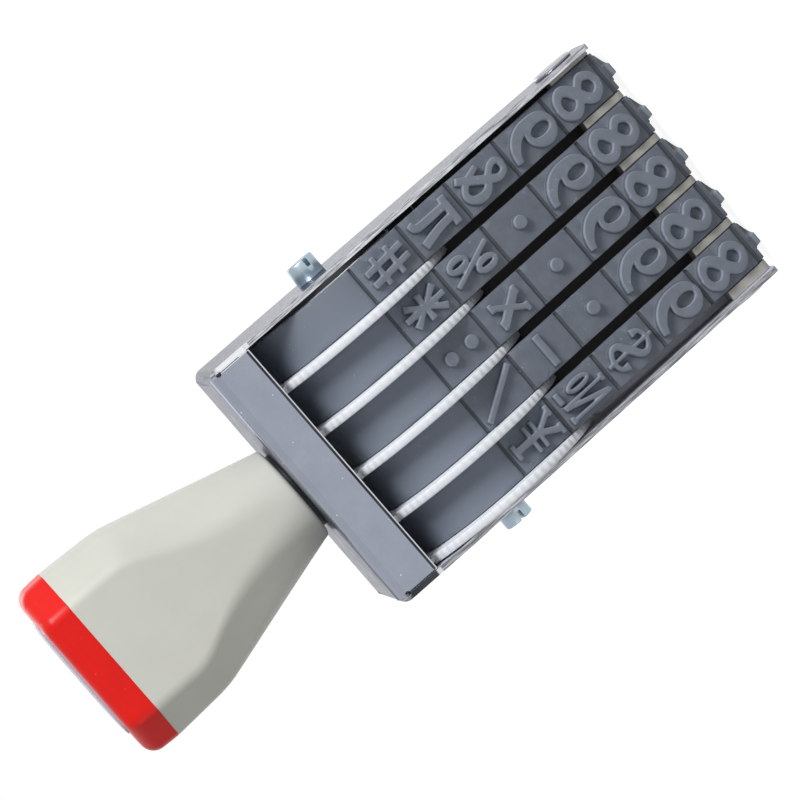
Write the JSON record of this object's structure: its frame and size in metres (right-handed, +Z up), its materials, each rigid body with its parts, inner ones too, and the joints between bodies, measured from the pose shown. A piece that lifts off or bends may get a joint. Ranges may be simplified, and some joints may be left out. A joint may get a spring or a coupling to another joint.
{
  "type": "hand numbering stamp",
  "caption": "Hand stamp with turnable rubber number bands on toothed thumb wheels in a bent steel yoke, under a faceted plastic handle with an end cap.",
  "frame": {"origin": "in the print face, under the middle of the object", "axes": "+Z up from the print face to the handle, +X along the axle towards the first band, -Y towards the side whose flange and signs face the viewer"},
  "size_m": [0.0576, 0.0408, 0.1351],
  "materials": {
    "polished_steel": "polished nickel plate",
    "platen_plastic": "moulded, matt",
    "spacer_plastic": "black, matt",
    "rivet_steel": "plated",
    "axle_steel": "turned",
    "washer_fibre": "pressed fibre, dark",
    "zinc_steel": "blue zinc plate",
    "spring_steel": "rolled",
    "handle_plastic": "moulded, satin gloss",
    "insert_brass": "turned",
    "cap_plastic": "moulded, gloss",
    "window_plastic": "clear, gloss",
    "label_paper": "uncoated",
    "band_rubber": "moulded, matt",
    "wheel_plastic": "moulded, matt"
  },
  "bodies": {
    "stamp_body": {"yoke": "polished_steel", "platen": "platen_plastic", "spacer_plate": "spacer_plastic", "platen_rivet_left": "rivet_steel", "platen_rivet_right": "rivet_steel", "axle": "axle_steel", "axle_screw_left": "zinc_steel", "axle_screw_right": "zinc_steel", "thrust_washer_left": "axle_steel", "thrust_washer_right": "washer_fibre", "click_spring": "spring_steel", "handle": "handle_plastic", "handle_insert": "insert_brass", "handle_washer": "axle_steel", "handle_screw": "axle_steel", "end_cap": "cap_plastic", "cap_window": "window_plastic", "index_label": "label_paper", "number_band_1": "band_rubber", "number_band_2": "band_rubber", "number_band_3": "band_rubber", "number_band_4": "band_rubber", "number_band_5": "band_rubber"},
    "wheel_1": {"thumb_wheel_1": "wheel_plastic"},
    "wheel_2": {"thumb_wheel_2": "wheel_plastic"},
    "wheel_3": {"thumb_wheel_3": "wheel_plastic"},
    "wheel_4": {"thumb_wheel_4": "wheel_plastic"},
    "wheel_5": {"thumb_wheel_5": "wheel_plastic"}
  },
  "joints": [
    {"name": "wheel_1_turn", "type": "hinge", "parent": "stamp_body", "child": "wheel_1", "pos_m": [0, 0, 0.0614], "axis": [1, 0, 0], "continuous": true},
    {"name": "wheel_2_turn", "type": "hinge", "parent": "stamp_body", "child": "wheel_2", "pos_m": [0, 0, 0.0614], "axis": [1, 0, 0], "continuous": true},
    {"name": "wheel_3_turn", "type": "hinge", "parent": "stamp_body", "child": "wheel_3", "pos_m": [0, 0, 0.0614], "axis": [1, 0, 0], "continuous": true},
    {"name": "wheel_4_turn", "type": "hinge", "parent": "stamp_body", "child": "wheel_4", "pos_m": [0, 0, 0.0614], "axis": [1, 0, 0], "continuous": true},
    {"name": "wheel_5_turn", "type": "hinge", "parent": "stamp_body", "child": "wheel_5", "pos_m": [0, 0, 0.0614], "axis": [1, 0, 0], "continuous": true}
  ]
}
